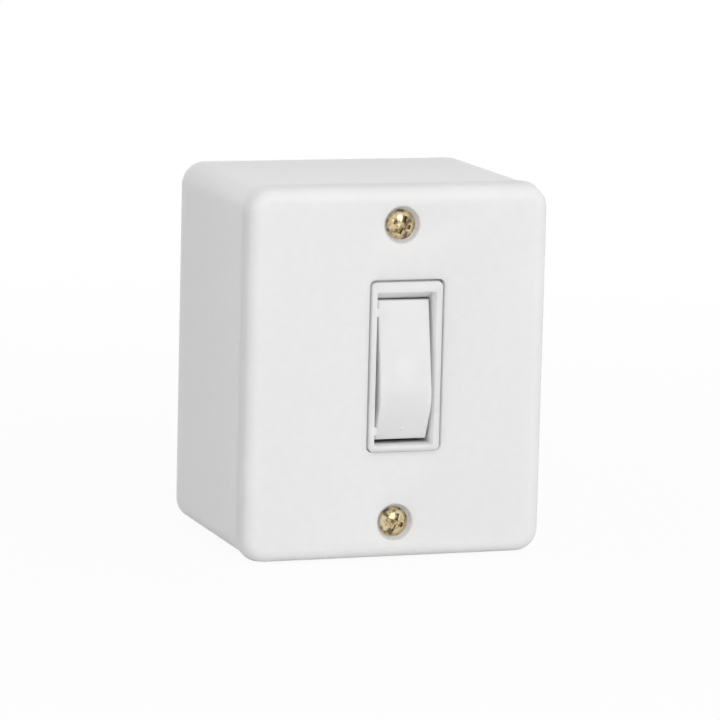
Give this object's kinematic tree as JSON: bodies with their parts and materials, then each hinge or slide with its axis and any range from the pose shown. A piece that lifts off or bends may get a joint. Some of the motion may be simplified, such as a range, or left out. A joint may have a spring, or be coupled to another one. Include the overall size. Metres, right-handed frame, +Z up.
{
  "type": "surface mounted light switch",
  "caption": "Surface mounted light switch: a deep white wall box with a filleted cover and an upright rocker in a slim bezel.",
  "frame": {"origin": "middle of the back face that lies against the wall", "axes": "+Z up, +Y into the wall, +X to the right as seen from the front; the rocker faces -Y"},
  "size_m": [0.0638, 0.0489, 0.076],
  "materials": {
    "white_plastic": "fine spark-eroded matte texture",
    "rocker_plastic": "smooth satin",
    "base_plastic": "matt moulded",
    "zinc_yellow": "yellow zinc plating",
    "brass": "stamped",
    "copper": "stamped copper alloy",
    "silver": "bright",
    "steel": "zinc plated"
  },
  "bodies": {
    "housing": {"back_box": "white_plastic", "front_cover": "white_plastic", "cover_screws": "zinc_yellow", "bezel_frame": "white_plastic", "module_base": "base_plastic", "common_terminal": "brass", "load_terminal": "brass", "fixed_tip": "silver", "clamp_plates": "steel", "terminal_screws": "brass"},
    "rocker": {"rocker": "rocker_plastic", "plunger_spring": "steel"},
    "plunger": {"plunger": "base_plastic"},
    "see_saw": {"seesaw_contact": "copper", "moving_tip": "silver"}
  },
  "joints": [
    {"name": "rocker_tilt", "type": "hinge", "parent": "housing", "child": "rocker", "pos_m": [0.0015, -0.0416, 0.00045], "axis": [1, 0, 0], "range_deg": [0, 14]},
    {"name": "plunger_slide", "type": "slide", "parent": "rocker", "child": "plunger", "axis": [0, -0.9925, 0.1219], "range_m": [0, 0.0006], "stiffness_N_per_m": 800, "springref_m": -0.0015, "deforming": ["plunger_spring"]},
    {"name": "seesaw_tilt", "type": "hinge", "parent": "housing", "child": "see_saw", "pos_m": [0.0015, -0.0299, 0.00045], "axis": [1, 0, 0], "range_deg": [-16, 0]}
  ],
  "couplings": [
    {"joint": "seesaw_tilt", "follows": "rocker_tilt", "ratio": -1.1429}
  ]
}
